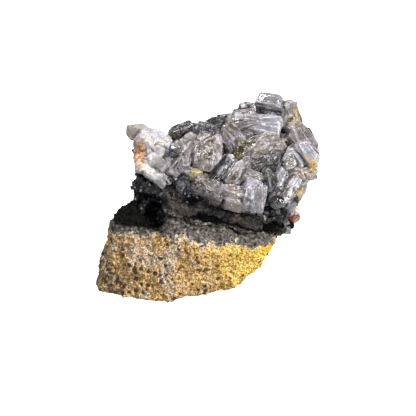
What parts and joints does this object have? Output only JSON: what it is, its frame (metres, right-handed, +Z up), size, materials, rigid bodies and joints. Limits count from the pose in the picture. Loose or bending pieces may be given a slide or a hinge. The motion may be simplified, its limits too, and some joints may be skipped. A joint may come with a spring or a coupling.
{
  "type": "galena mineral specimen",
  "caption": "Hand specimen with an overhanging black galena seam on spotted ochre host rock, crusted with intergrown clear crystals and milky spar.",
  "frame": {"origin": "bottom centre of the specimen's box, on the surface that it rests on", "axes": "+X along the specimen's width, to the right when the overhanging ledge faces the viewer; +Y to its back; +Z up"},
  "size_m": [0.0942, 0.0562, 0.074],
  "materials": {
    "host_rock": "rough granular, ochre with black spots",
    "galena": "dark lead-grey with bright glints",
    "pocket_galena": "black, sparkling",
    "milky_spar": "milky white with rust stains",
    "clear_crystal": "frosted glassy",
    "amber_crystal": "glassy"
  },
  "bodies": {
    "root": {"host_rock": "host_rock", "galena_seam": "galena", "pocket_cubes": "pocket_galena", "milky_spar": "milky_spar", "crystal_crust": "clear_crystal", "amber_crystal": "amber_crystal"}
  },
  "joints": []
}
